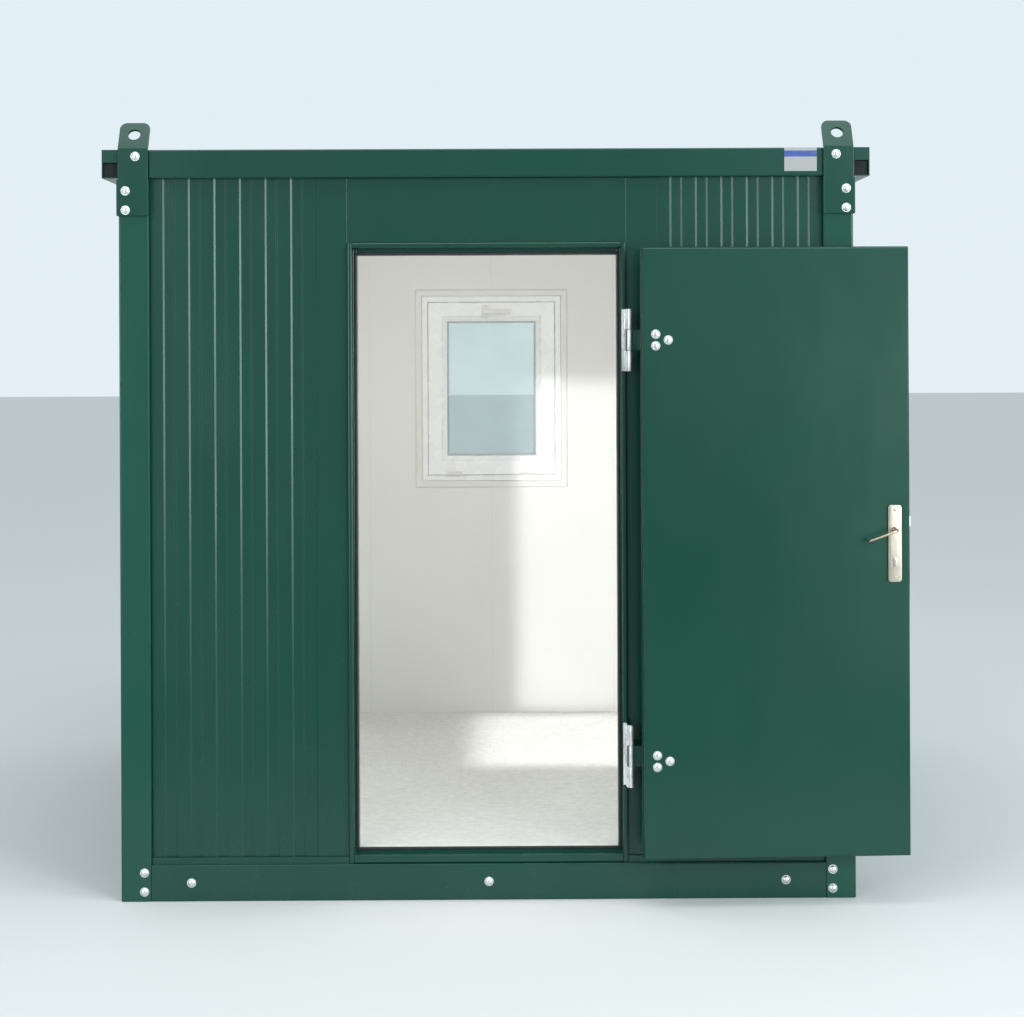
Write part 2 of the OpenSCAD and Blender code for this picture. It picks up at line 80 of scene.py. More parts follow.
# %% [markdown]
# ## Writing node trees as formulas
#
# Both materials and Geometry Nodes are trees of small sums. A wrapped socket with Python's own
# operators keeps them readable: `a * 2 + b` adds the nodes that work it out. Vectors
# and colours go through Vector Math and Mix, and numbers alone never become nodes at all.
# %% A socket that can be used in sums
class Term:
    """One socket of a node tree. Each operator adds the node that works out the result."""

    def __init__(self, tree, socket):
        self.tree, self.socket = tree, socket

    def maths(self, operation, *others, swap=False, output=0):
        terms = [*others, self] if swap else [self, *others]
        wide = any(t.socket.type in ("VECTOR", "RGBA") if isinstance(t, Term)
                   else isinstance(t, (tuple, list)) for t in terms)
        if wide:
            terms = [(t,) * 3 if isinstance(t, (int, float)) else t for t in terms]
        kind = "ShaderNodeVectorMath" if wide else "ShaderNodeMath"
        return self.tree.add(kind, {"operation": operation}, dict(enumerate(terms)), output)

    def __add__(self, other): return self.maths("ADD", other)
    def __sub__(self, other): return self.maths("SUBTRACT", other)
    def __rsub__(self, other): return self.maths("SUBTRACT", other, swap=True)
    def __mul__(self, other): return self.maths("MULTIPLY", other)
    def __truediv__(self, other): return self.maths("DIVIDE", other)
    def __pow__(self, other): return self.maths("POWER", other)
    def __mod__(self, other): return self.maths("FLOORED_MODULO", other)
    def __lt__(self, other): return self.maths("LESS_THAN", other)
    def __gt__(self, other): return self.maths("GREATER_THAN", other)
    def __abs__(self): return self.maths("ABSOLUTE")
    def __neg__(self): return self * -1
    __radd__, __rmul__ = __add__, __mul__

    def larger(self, other):
        return self.maths("MAXIMUM", other)

    def part(self, axis):
        return self.tree.add("ShaderNodeSeparateXYZ", {}, {0: self}, axis)

    def ramp(self, low, high, to_low=0.0, to_high=1.0):
        """Runs softly from to_low to to_high while this goes from low to high."""
        return self.tree.add("ShaderNodeMapRange", {"interpolation_type": "SMOOTHSTEP"},
                             {0: self, 1: low, 2: high, 3: to_low, 4: to_high})

    def blend(self, start, end):
        """A colour that goes from start to end while this goes from 0 to 1."""
        return self.tree.add("ShaderNodeMix", {"data_type": "RGBA"},
                             {0: self, 6: start, 7: end}, 2)


class Tree:
    """A node tree. Its one method makes any node: settings first, then values and links."""

    def __init__(self, tree):
        self.tree = tree

    def add(self, kind, settings=None, inputs=None, output=0):
        made = self.tree.nodes.new(kind)
        for key, value in (settings or {}).items():
            setattr(made, key, value)
        for key, value in (inputs or {}).items():
            for one in value if isinstance(value, list) else [value]:
                if isinstance(one, Term):
                    self.tree.links.new(one.socket, made.inputs[key])
                elif made.inputs[key].type == "RGBA":
                    made.inputs[key].default_value = (*one, 1.0)[:4]
                else:
                    made.inputs[key].default_value = one
        return Term(self, made.outputs[output])


class Finish(Tree):
    """A material's tree round its Principled shader, patterned by Object coordinates."""

    def __init__(self, name, **steady):
        self.material = bpy.data.materials.new(name)
        self.material.use_nodes = True
        super().__init__(self.material.node_tree)
        self.shader = self.tree.nodes["Principled BSDF"]
        self.place = self.add("ShaderNodeTexCoord", output="Object")
        self.wear(**steady)

    def wear(self, **sockets):
        """Sets or links sockets of the shader; Base_Color stands for Base Color."""
        for key, value in sockets.items():
            socket = self.shader.inputs[key.replace("_", " ")]
            if isinstance(value, Term):
                self.tree.links.new(value.socket, socket)
            else:
                socket.default_value = (*value, 1.0) if isinstance(value, tuple) else value

    def noise(self, scale, detail=3.0, stretch=(1, 1, 1)):
        return self.add("ShaderNodeTexNoise", {},
                        {"Vector": self.place * stretch, "Scale": scale, "Detail": detail})

    def bump(self, height, depth):
        return self.add("ShaderNodeBump", {}, {"Height": height, "Distance": depth})


# %% [markdown]
# ## Paint, lining and metals
#
# Moss green gloss paint on steel is nearly black in its red channel and gets its liveliness from
# reflections. So the colour itself varies very little, the gloss a little more, and a fine
# orange peel bends the reflections. Dust gathers towards the ground, and the threshold's top
# is darker in patches. The frame, the sheet and the door differ the way sprayed steel,
# coil-coated sheet and a factory door do: in peel and in gloss. The posts' green is a quarter
# lighter: painted light, for the extra light they catch.
# %% The green finishes
GREEN = (0.0042, 0.0540, 0.0360)
GREEN_DEEP = (0.0035, 0.0490, 0.0327)
DUST = (0.10, 0.125, 0.10)


def green_paint(name, peel_scale, peel_depth, gloss, shade=1.0):
    finish = Finish(name, Specular_IOR_Level=0.42)
    broad = finish.noise(1.3, 2.0)
    smear = finish.noise(5.0, 4.0, (1.0, 1.0, 0.35))
    speck = finish.noise(90.0, 2.0).ramp(0.68, 0.78)
    height = finish.place.part("Z")
    low_dust = height.ramp(0.02, 0.26, 0.05, 0.0) * smear.ramp(0.35, 0.7, 0.3, 1.0)
    veil = low_dust + speck * 0.02
    paint = broad.ramp(0.35, 0.65).blend(tuple(c * shade for c in GREEN_DEEP),
                                         tuple(c * shade for c in GREEN))
    peel = finish.noise(peel_scale, 1.0)
    finish.wear(Base_Color=veil.blend(paint, DUST),
                Roughness=smear.ramp(0.3, 0.7, gloss, gloss + 0.09) + veil,
                Normal=finish.bump(peel, peel_depth))
    return finish.material


frame_paint = green_paint("frame_paint", 110.0, 0.00012, 0.17)
# Painted light: the posts' green is a quarter lighter, for the extra light they catch.
post_paint = green_paint("post_paint", 110.0, 0.00012, 0.17, 1.25)
sheet_paint = green_paint("sheet_paint", 60.0, 0.00006, 0.20)
door_paint = green_paint("door_paint", 45.0, 0.00008, 0.16)
print("green finishes", [m.name for m in bpy.data.materials if m.name.endswith("_paint")])

# %% [markdown]
# The room is lined with off-white coated board in sheets, whose joints show as faint
# upright lines. The deck is a grey vinyl sheet, mottled in the making and darker in patches
# towards the doorway, with thin streaks left by dragged things.
# %% The lining and the floor
JOINT_STEP = 0.56


def lining_board():
    finish = Finish("lining_board", Specular_IOR_Level=0.35)
    across = abs(finish.place.part("X")).maths("MINIMUM", abs(finish.place.part("Y")))
    joint = abs((across + JOINT_STEP / 2) % JOINT_STEP - JOINT_STEP / 2).ramp(0.0, 0.0025, 1.0, 0.0)
    cloud = finish.noise(2.2, 4.0)
    grain = finish.noise(260.0, 2.0, (1.0, 1.0, 0.25))
    finish.wear(Base_Color=(joint * 0.22 + cloud.ramp(0.4, 0.8, 0.0, 0.06))
                .blend((0.80, 0.80, 0.775), (0.50, 0.50, 0.475)),
                Roughness=cloud.ramp(0.3, 0.7, 0.42, 0.55),
                Normal=finish.bump(grain, 0.00008))
    return finish.material


def deck_vinyl():
    finish = Finish("deck_vinyl", Specular_IOR_Level=0.4)
    mottle = finish.noise(38.0, 4.0)
    patch = finish.noise(3.1, 5.0)
    streak = finish.noise(7.0, 3.0, (9.0, 0.6, 1.0)).ramp(0.58, 0.72)
    # The deck is darker in patches towards the doorway.
    steps = finish.place.part("Y").ramp(-1.1, 0.1, 1.0, 0.0) * patch.ramp(0.35, 0.65)
    pale = mottle.ramp(0.3, 0.7).blend((0.66, 0.66, 0.635), (0.74, 0.74, 0.72))
    finish.wear(Base_Color=(streak * 0.10 + steps * 0.12).blend(pale, (0.50, 0.49, 0.46)),
                Roughness=patch.ramp(0.3, 0.7, 0.28, 0.46) + streak * 0.12,
                Normal=finish.bump(mottle, 0.0001))
    return finish.material


lining = lining_board()
deck = deck_vinyl()
print("room finishes", lining.name, deck.name)

# %% [markdown]
# Metals carry their look in the roughness. Zinc plating is bright and a little cloudy, with
# fine brush marks. The handle plates are a satin champagne metal brushed along their length,
# the levers a browner one, and the lock's barrel is nickel. Glass is a clear shader with a
# thin share of gloss mixed in, which costs less light than a refracting one.
# %% Metals, plastics, rubber and glass
def metal(name, pale, dark, rough, brush):
    finish = Finish(name, Metallic=1.0)
    cloud = finish.noise(24.0, 3.0)
    lines = finish.noise(300.0, 2.0, brush)
    finish.wear(Base_Color=cloud.ramp(0.35, 0.7).blend(pale, dark),
                Roughness=lines.ramp(0.3, 0.7, rough, rough + 0.1),
                Normal=finish.bump(lines, 0.000005))
    return finish.material


def plastic(name, pale, dark, rough, scale, depth, **steady):
    finish = Finish(name, **steady)
    soft = finish.noise(scale * 0.1, 3.0)
    finish.wear(Base_Color=soft.ramp(0.35, 0.75).blend(pale, dark),
                Roughness=soft.ramp(0.3, 0.7, rough, rough + 0.1),
                Normal=finish.bump(finish.noise(scale, 2.0), depth))
    return finish.material


def clear_glass():
    finish = Finish("clear_glass", Base_Color=(0.62, 0.72, 0.74), Roughness=0.03)
    film = finish.noise(3.0, 3.0).ramp(0.3, 0.8, 0.10, 0.15)
    clear = finish.add("ShaderNodeBsdfTransparent", {}, {0: (0.97, 0.99, 0.985)})
    gloss = Term(finish, finish.shader.outputs[0])
    mixed = finish.add("ShaderNodeMixShader", {}, {0: film, 1: clear, 2: gloss})
    output = finish.tree.nodes["Material Output"]
    finish.tree.links.new(mixed.socket, output.inputs[0])
    return finish.material


zinc = metal("zinc_plate", (0.90, 0.905, 0.91), (0.78, 0.785, 0.80), 0.26, (1.0, 1.0, 0.2))
champagne = metal("champagne_metal", (0.60, 0.525, 0.44), (0.50, 0.44, 0.365), 0.27,
                  (1.0, 1.0, 0.08))
pvc = plastic("window_pvc", (0.92, 0.925, 0.93), (0.90, 0.905, 0.905), 0.22, 150.0, 0.00002)
brown_metal = metal("lever_metal", (0.50, 0.42, 0.335), (0.40, 0.33, 0.26), 0.24,
                    (0.1, 1.0, 1.0))
nickel = metal("lock_nickel", (0.80, 0.76, 0.71), (0.70, 0.66, 0.61), 0.22, (1.0, 1.0, 0.2))
casing_plastic = plastic("casing_plastic", (0.79, 0.785, 0.755), (0.76, 0.755, 0.725), 0.3,
                         150.0, 0.00002)
rubber = plastic("seal_rubber", (0.018, 0.019, 0.021), (0.03, 0.03, 0.032), 0.55, 400.0, 0.0001)
grey_rubber = plastic("glazing_rubber", (0.50, 0.51, 0.51), (0.56, 0.56, 0.56), 0.5, 400.0, 0.0001)
black = plastic("black_plastic", (0.012, 0.012, 0.013), (0.022, 0.022, 0.024), 0.5, 260.0, 0.0001,
                Specular_IOR_Level=0.15)
glass = clear_glass()
print("materials", len(bpy.data.materials))

# %% [markdown]
# ## Handing pieces over
#
# Its place is in its mesh and its object stays at the origin, so patterns on Object
# coordinates don't slide when the door swings.
# %% Helpers that make and hand over pieces
def keep(piece, body, nodes=()):
    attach(piece, body)
    if nodes:
        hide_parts(*nodes)
    return piece


def mesh_piece(name, mesh, materials):
    piece = bpy.data.objects.new(name, mesh)
    bpy.context.scene.collection.objects.link(piece)
    for material in materials:
        mesh.materials.append(material)
    return piece


def shaped(name, work, place=Matrix()):
    """Turns a bmesh into a mesh at its place, with the faces outwards even if mirrored."""
    mesh = bpy.data.meshes.new(name)
    work.to_mesh(mesh)
    work.free()
    mesh.transform(place)
    if place.determinant() < 0:
        mesh.flip_normals()
    return mesh


# %% [markdown]
# ## Softened copies
#
# Pressed and welded steel has no knife edges. A bent edge has a radius of a few millimetres,
# and that radius is what catches a bright line of light. A Bevel modifier would round
# every edge, also the false ones between triangles. So each plain node is copied, its
# doubled corners are merged, its flat faces are joined again, and only its real edges are
# bevelled. The long outer edges, where a sheet is folded round, are rolled first and to a
# bigger radius, the lip. The node itself stays as packed.
# %% Rounding the real edges
LIP, LIP_STEPS, LONG_EDGE = 0.006, 4, 0.7


def soften(work, width, segments=2, angle=25.0, lip=0.0, on_lip=None):
    """Merges and joins a bmesh's faces, then bevels the edges that turn by more than angle.
    The long edges that on_lip picks are rolled to the radius lip first."""
    bmesh.ops.remove_doubles(work, verts=work.verts, dist=1e-5)
    bmesh.ops.dissolve_limit(work, angle_limit=math.radians(1.0), verts=work.verts,
                             edges=work.edges)

    def roll(radius, steps, wanted):
        sharp = [e for e in work.edges if len(e.link_faces) == 2
                 and e.calc_face_angle(0.0) > math.radians(angle) and wanted(e)]
        if sharp:
            bmesh.ops.bevel(work, geom=sharp, offset=radius, offset_type="OFFSET",
                            segments=steps, profile=0.5, affect="EDGES", clamp_overlap=True)

    if lip:
        roll(lip, LIP_STEPS, lambda e: e.calc_length() > LONG_EDGE and all(map(on_lip, e.verts)))
    roll(width, segments, lambda e: True)
    bmesh.ops.recalc_face_normals(work, faces=work.faces)


DOOR_FRAME_BACK = 0.0115


def on_outside(vert):
    """True on the outer face of the frame and on the face of the door frame behind it."""
    return max(abs(vert.co.x), abs(vert.co.y)) > half - DOOR_FRAME_BACK


def on_tray(vert):
    """True on the room face of the door leaf."""
    return abs((swing.inverted() @ vert.co).y - (face + LEAF_BACK)) < 0.001


def softened(name, nodes, width, material, body, segments=2, lined=False, lip=0.0,
             on_lip=on_outside):
    """One piece from one or more nodes, with its edges rounded."""
    work = bmesh.new()
    for node in nodes:
        work.from_mesh(frame["nodes"][node].data)
    soften(work, width, segments, lip=lip, on_lip=on_lip)
    if lined:
        for flat in work.faces:
            flat.material_index = int(is_lining(flat.calc_center_median(), flat.normal))
    materials = [material, lining] if lined else [material]
    return keep(mesh_piece(name, shaped(name, work), materials), body, nodes)


def is_lining(middle, normal):
    """True for a wall's face that looks into the room."""
    inside = max(abs(middle.x), abs(middle.y)) < room_half + 0.002
    return inside and middle.dot(Vector((normal.x, normal.y, 0))) < 0


print("lip", LIP, "on edges over", LONG_EDGE)


# %% [markdown]
# Plates, barrels and panes are flat shapes with a thickness, so they are drawn as an outline
# and pushed out. Pieces that always move together are joined, which keeps the list short.
# %% Flat pieces, joining and smooth shading
def panel_piece(name, outline, thickness, place, material, width, segments=2):
    """A flat outline in X and Z, thickened along +Y, with its edges rounded."""
    work = bmesh.new()
    flat = work.faces.new([work.verts.new((x, 0, z)) for x, z in outline])
    pushed = bmesh.ops.extrude_face_region(work, geom=[flat])
    bmesh.ops.translate(work, vec=(0, thickness, 0),
                        verts=[v for v in pushed["geom"] if isinstance(v, bmesh.types.BMVert)])
    bmesh.ops.recalc_face_normals(work, faces=work.faces)
    soften(work, width, segments)
    return mesh_piece(name, shaped(name, work, place), [material])


def joined(name, parts):
    """Joins plain pieces into one, keeping their materials."""
    work = bmesh.new()
    materials = []
    for part in parts:
        offset = len(work.faces)
        work.from_mesh(part.data)
        work.faces.ensure_lookup_table()
        slots = []
        for material in part.data.materials:
            if material not in materials:
                materials.append(material)
            slots.append(materials.index(material))
        for flat in work.faces[offset:]:
            flat.material_index = slots[min(flat.material_index, len(slots) - 1)]
        bpy.data.objects.remove(part)
    return mesh_piece(name, shaped(name, work), materials)


def smooth(piece, angle=35.0):
    """Smooth shading, with the edges that turn by more than angle left sharp."""
    piece.data.shade_smooth()
    piece.data.set_sharp_from_angle(angle=math.radians(angle))
    return piece


# %% [markdown]
# The frame's members come first. Posts and beams are folded from 3 mm steel, so they get the
# bigger radius. The lugs are flame-cut plate and stay crisper. The floor covering is
# carried over the threshold, so the top of the threshold takes the deck's finish, and the
# hinge straps are painted with the leaf except at their knuckles.
# %% Posts, beams, rails and lugs
for node in ("corner_post_front_left", "corner_post_front_right",
             "corner_post_rear_left", "corner_post_rear_right"):
    softened("folded_" + node, [node], 0.003, post_paint, "cabin", lip=LIP)
for node in ("base_beam_front", "base_beam_rear", "base_beams_side",
             "roof_beam_front", "roof_beam_rear", "roof_beams_side"):
    softened("folded_" + node, [node], 0.002, frame_paint, "cabin", lip=LIP)
softened("floor_bearer_set", ["floor_bearers"], 0.004, frame_paint, "cabin")
for node in ("roof_rail_left", "roof_rail_right"):
    softened("pressed_" + node, [node], 0.0009, frame_paint, "cabin")
for node in ("lifting_lugs_front", "lifting_lugs_rear"):
    softened("cut_" + node, [node], 0.0015, frame_paint, "cabin")
# Painted shade: black plugs close the rails' open ends and stand for the dark hollow inside them.
softened("rail_plugs", ["rail_end_plugs"], 0.002, black, "cabin")
softened("deck_sheet", ["floor_panel"], 0.002, deck, "cabin")
softened("ceiling_boards", ["ceiling_panel"], 0.002, lining, "cabin")
for node in ("door_surround_sides", "door_surround_head"):
    softened("flush_" + node, [node], 0.0012, sheet_paint, "cabin", lined=True)
for node in ("door_jambs", "door_head", "door_threshold"):
    softened("pressed_" + node, [node], 0.0018, frame_paint, "cabin", lip=LIP)
sill = bpy.data.objects["pressed_door_threshold"].data
sill.materials.append(deck)
sill_top = max(v.co.z for v in sill.vertices)
for flat in sill.polygons:
    flat.material_index = int(flat.normal.z > 0.9 and flat.center.z > sill_top - 0.001)
softened("door_leaf_steel", ["door_leaf"], 0.0014, door_paint, "door", lip=0.005,
         on_lip=on_tray)
softened("lock_front", ["lock_faceplate"], 0.0006, zinc, "door")
smooth(softened("frame_hinges", ["hinge_frame_halves"], 0.0009, zinc, "cabin"))
straps = smooth(softened("leaf_hinges", ["hinge_door_halves"], 0.0009, zinc, "door"))
KNUCKLE_R = 0.0095
straps.data.materials.append(door_paint)
for flat in straps.data.polygons:
    flat.material_index = int((flat.center.xy - hinge.xy).length > KNUCKLE_R)

# %% [markdown]
# ## Grooved panels that grow from a rule
#
# The outer sheet of each sandwich panel is rolled with shallow trapezoid grooves at one
# pitch. That is a rule and not a drawing, so a Geometry Nodes group makes every panel from
# its length, its height and the groove's measures: one groove as a chain of points,
# repeated along the panel, closed round the core, with each outer bend rolled to a small
# radius, then raised to the panel's height. The roof sheet is the same group with the
# grooves turned outwards. The slanted flank of a groove is what shows from far away,
# because it mirrors a lamp that the flat sheet beside it doesn't.
# %% Building and running a node group
class Grower(Tree):
    """A Geometry Nodes group with named inputs."""

    KINDS = {"FLOAT": "NodeSocketFloat", "INT": "NodeSocketInt",
             "MATERIAL": "NodeSocketMaterial", "GEOMETRY": "NodeSocketGeometry"}

    def __init__(self, name, **inputs):
        group = bpy.data.node_groups.new(name, "GeometryNodeTree")
        super().__init__(group)
        for key, kind in inputs.items():
            group.interface.new_socket(key, in_out="INPUT", socket_type=Grower.KINDS[kind])
        group.interface.new_socket("Geometry", in_out="OUTPUT",
                                   socket_type="NodeSocketGeometry")
        entry = group.nodes.new("NodeGroupInput")
        self.given = {key: Term(self, entry.outputs[key]) for key in inputs}
        self.exit = group.nodes.new("NodeGroupOutput")

    def point(self, x, y, z=0.0):
        return self.add("ShaderNodeCombineXYZ", {}, {0: x, 1: y, 2: z})

    def chain(self, points):
        """A line of edges through the points."""
        line = self.add("GeometryNodeMeshLine", {}, {"Count": len(points)})
        pick = self.add("GeometryNodeIndexSwitch", {"data_type": "VECTOR"})
        switch = pick.socket.node
        while len(switch.index_switch_items) < len(points):
            switch.index_switch_items.new()
        self.tree.links.new(self.add("GeometryNodeInputIndex").socket, switch.inputs[0])
        for i, spot in enumerate(points):
            self.tree.links.new(spot.socket, switch.inputs[i + 1])
        return self.add("GeometryNodeSetPosition", {}, {"Geometry": line, "Position": pick})

    def join(self, *parts):
        return self.add("GeometryNodeJoinGeometry", {}, {0: list(parts)[::-1]})

    def repeat(self, shape, points, **more):
        """The shape at each point, as real geometry."""
        placed = self.add("GeometryNodeInstanceOnPoints", {},
                          {"Points": points, "Instance": shape, **more})
        return self.add("GeometryNodeRealizeInstances", {}, {0: placed})

    def merged(self, mesh):
        return self.add("GeometryNodeMergeByDistance", {}, {"Geometry": mesh,
                                                            "Distance": 0.00002})

    def painted(self, mesh, material, where=True):
        return self.add("GeometryNodeSetMaterial", {},
                        {"Geometry": mesh, "Material": material, "Selection": where})

    def finished(self, mesh):
        self.tree.links.new(mesh.socket, self.exit.inputs[0])
        return self.tree


def grown(name, group, inputs, base=None):
    """Runs a node group once, and keeps what it makes as a plain mesh."""
    piece = bpy.data.objects.new(name, base or bpy.data.meshes.new(name))
    bpy.context.scene.collection.objects.link(piece)
    modifier = piece.modifiers.new("grow", "NODES")
    modifier.node_group = group
    for item in group.interface.items_tree:
        if item.in_out == "INPUT" and item.name in inputs:
            modifier[item.identifier] = inputs[item.name]
    piece.update_tag()
    bpy.context.view_layer.update()
    graph = bpy.context.evaluated_depsgraph_get()
    mesh = bpy.data.meshes.new_from_object(piece.evaluated_get(graph), depsgraph=graph)
    mesh.name = name
    piece.modifiers.clear()
    piece.data = mesh
    return piece


# %% [markdown]
# Each input of the panel's group is one measure of the real sheet. The lining is set only
# where a face looks along +Y and lies at the back, so one mesh carries both finishes.
# %% The node group of the panels
def panel_group():
    tree = Grower("grooved_panel", Length="FLOAT", Height="FLOAT", Thickness="FLOAT",
                  Count="INT", Pitch="FLOAT", Groove="FLOAT", Flank="FLOAT", Depth="FLOAT",
                  Start="FLOAT", Bend="FLOAT", Sheet="MATERIAL", Lining="MATERIAL")
    g = tree.given
    gap = (g["Pitch"] - g["Groove"]) / 2
    one = tree.chain([tree.point(-gap, 0.0), tree.point(0.0, 0.0),
                      tree.point(g["Flank"], g["Depth"]),
                      tree.point(g["Groove"] - g["Flank"], g["Depth"]),
                      tree.point(g["Groove"], 0.0), tree.point(g["Groove"] + gap, 0.0)])
    spots = tree.add("GeometryNodeMeshLine", {},
                     {"Count": g["Count"], "Start Location": tree.point(g["Start"], 0.0),
                      "Offset": tree.point(g["Pitch"], 0.0)})
    last = g["Start"] + g["Pitch"] * g["Count"] - gap
    back = tree.chain([tree.point(last, 0.0), tree.point(g["Length"], 0.0),
                       tree.point(g["Length"], g["Thickness"]),
                       tree.point(0.0, g["Thickness"]), tree.point(0.0, 0.0),
                       tree.point(g["Start"] - gap, 0.0)])
    loop = tree.merged(tree.join(tree.repeat(one, spots), back))
    line = tree.add("GeometryNodeMeshToCurve", {}, {0: loop})
    outside = tree.add("GeometryNodeInputPosition").part("Y") < g["Thickness"] / 2
    bent = tree.add("GeometryNodeFilletCurve", {"mode": "POLY"},
                    {"Curve": line, "Radius": outside * g["Bend"], "Count": 3})
    flat = tree.merged(tree.add("GeometryNodeFillCurve", {"mode": "NGONS"}, {0: bent}))
    up = tree.point(0.0, 0.0, g["Height"])
    raised = tree.add("GeometryNodeExtrudeMesh", {"mode": "FACES"},
                      {"Mesh": flat, "Offset": up, "Offset Scale": 1.0, "Individual": False})
    foot = tree.add("GeometryNodeFlipFaces", {}, {0: flat})
    solid = tree.merged(tree.join(raised, foot))
    looks = tree.add("GeometryNodeInputNormal").part("Y")
    deep = tree.add("GeometryNodeInputPosition").part("Y")
    roomward = (looks > 0.9) * (deep > g["Thickness"] - 0.001)
    return tree.finished(tree.painted(tree.painted(solid, g["Sheet"]), g["Lining"], roomward))


grooved = panel_group()
print("panel group", len(grooved.nodes), "nodes")

# %% [markdown]
# Every wall panel is drawn as if it stood at the front and then turned to its side of the
# cabin by quarter turns. The number of grooves follows from its length.
# %% All wall panels
PITCH, MARGIN, DEPTH, FLANK, BEND = 0.085, 0.030, 0.003, 0.0065, 0.0022


def grooves(length):
    """How many grooves fit on a panel of this length, and where the first one starts."""
    count = math.floor((length - 2 * MARGIN + PITCH / 2) / PITCH)
    return count, (length - (count - 0.5) * PITCH) / 2


for node, quarter in (("front_wall_left", 0), ("front_wall_right", 0), ("side_wall_right", 1),
                      ("side_wall_left", 3), ("rear_wall_left", 2), ("rear_wall_right", 2),
                      ("rear_wall_under_window", 2), ("rear_wall_over_window", 2)):
    low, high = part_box(node)
    turn = Matrix.Rotation(math.radians(90 * quarter), 4, "Z")
    back = Matrix.Rotation(math.radians(-90 * quarter), 4, "Z")
    a, b = back @ low, back @ high
    x0, x1 = sorted((a.x, b.x))
    y0, y1 = sorted((a.y, b.y))
    count, start = grooves(x1 - x0)
    piece = grown("rolled_" + node, grooved,
                  {"Length": x1 - x0, "Height": high.z - low.z, "Thickness": y1 - y0,
                   "Count": count, "Pitch": PITCH, "Groove": PITCH / 2, "Flank": FLANK,
                   "Depth": DEPTH, "Start": start, "Bend": BEND,
                   "Sheet": sheet_paint, "Lining": lining})
    piece.data.transform(turn @ Matrix.Translation((x0, y0, low.z)))
    keep(piece, "cabin", [node])
    print(node, "grooves", count, "faces", len(piece.data.polygons))

# %% [markdown]
# The roof sheet is the same group, drawn lying down: its length runs across the cabin, its
# height from front to rear, and a negative depth turns the grooves into ribs.
# %% The roof sheet
low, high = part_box("roof_sheet")
RIB_PITCH, RIB_FOOT, RIB_SLOPE, RIB_H, RIB_BEND = 0.200, 0.070, 0.015, 0.020, 0.003
LYING = Matrix(((1, 0, 0, 0), (0, 0, -1, 0), (0, -1, 0, 0), (0, 0, 0, 1)))
wide = high.x - low.x
ribs = math.floor((wide - RIB_PITCH / 2) / RIB_PITCH)
roof = grown("rolled_roof_sheet", grooved,
             {"Length": wide, "Height": high.y - low.y, "Thickness": high.z - low.z - RIB_H,
              "Count": ribs, "Pitch": RIB_PITCH, "Groove": RIB_FOOT, "Flank": RIB_SLOPE,
              "Depth": -RIB_H, "Start": (wide - (ribs - 1) * RIB_PITCH - RIB_FOOT) / 2,
              "Bend": RIB_BEND, "Sheet": sheet_paint, "Lining": sheet_paint})
roof.data.transform(Matrix.Translation((low.x, high.y, high.z - RIB_H)) @ LYING)
roof.data.flip_normals()
keep(roof, "cabin", ["roof_sheet"])
print("roof ribs", ribs)

# %% [markdown]
# ## Domed bolts
#
# The frame is held by zinc-plated dome-head bolts on thin washers. A second group puts one on each
# point of a cloud, turned to the direction the point carries. The dome is a cylinder
# whose top is lifted by the height of a circle's arc, so it needs few faces.
# %% The node group of the bolts
def bolt_group():
    tree = Grower("domed_bolts", Points="GEOMETRY", Radius="FLOAT", Dome="FLOAT",
                  Washer="FLOAT", Metal="MATERIAL")
    g = tree.given

    def disc(radius, depth, rings):
        return tree.add("GeometryNodeMeshCylinder", {"fill_type": "TRIANGLE_FAN"},
                        {"Vertices": 20, "Side Segments": 1, "Fill Segments": rings,
                         "Radius": radius, "Depth": depth})

    head = disc(g["Radius"], g["Washer"] * 2, 4)
    spot = tree.add("GeometryNodeInputPosition")
    out = tree.add("ShaderNodeVectorMath", {"operation": "LENGTH"},
                   {0: tree.point(spot.part("X"), spot.part("Y"))}, 1)
    arc = (1.0 - ((out / g["Radius"]) ** 2.0)).larger(0.0) ** 0.5
    lift = tree.point(0.0, 0.0, (spot.part("Z") > 0.0) * arc * g["Dome"])
    dome = tree.add("GeometryNodeSetPosition", {}, {"Geometry": head, "Offset": lift})
    ring = disc(g["Radius"] * 1.22, g["Washer"], 1)
    facing = tree.add("GeometryNodeInputNamedAttribute", {"data_type": "FLOAT_VECTOR"},
                      {"Name": "facing"})
    turn = tree.add("FunctionNodeAlignRotationToVector", {"axis": "Z"}, {"Vector": facing})
    bolts = tree.repeat(tree.join(dome, ring), g["Points"], Rotation=turn)
    return tree.finished(tree.painted(bolts, g["Metal"]))


domed = bolt_group()
WASHER = 0.0015


def bolts(name, spots, radius, dome, body, material=zinc, slot="zinc_steel", place=None):
    """A bolt at each (position, direction)."""
    cloud = bpy.data.meshes.new(name + "_spots")
    cloud.from_pydata([p for p, _ in spots], [], [])
    facing = cloud.attributes.new("facing", "FLOAT_VECTOR", "POINT")
    facing.data.foreach_set("vector", [c for _, way in spots for c in way])
    piece = grown(name, domed, {"Radius": radius, "Dome": dome, "Washer": WASHER,
                                "Metal": material}, cloud)
    if place:
        piece.data.transform(place)
    return keep(smooth(piece), body)


print("bolt group", len(domed.nodes), "nodes")

# %% [markdown]
# The frame shows bolts at the foot of every post, along the base beams and on the lugs. The
# rear and the sides repeat the front. The hinge straps carry three bolts on each face of the
# leaf, drawn with the door shut and swung with it.
# %% All bolts of the frame and of the hinges
FOOT_BOLTS, BEAM_BOLTS, BEAM_BOLT_Z = (0.033, 0.096), (-0.986, 0.0, 0.986), 0.062
LUG_BOLTS = ((1.161, 2.470), (1.194, 2.356), (1.194, 2.292))
LUG_FRONT_T, LUG_SIDE_T, LUG_SIDE_IN = 0.010, 0.005, 0.030
BOLT_R, BOLT_DOME, STRAP_DOME = 0.0125, 0.006, 0.0055
STRAP_BOLTS = ((0.395, 0.019), (0.395, -0.019), (0.354, 0.0))
STRAP_FRONT = 0.005
foot_x = half - post_w / 2 - 0.0275


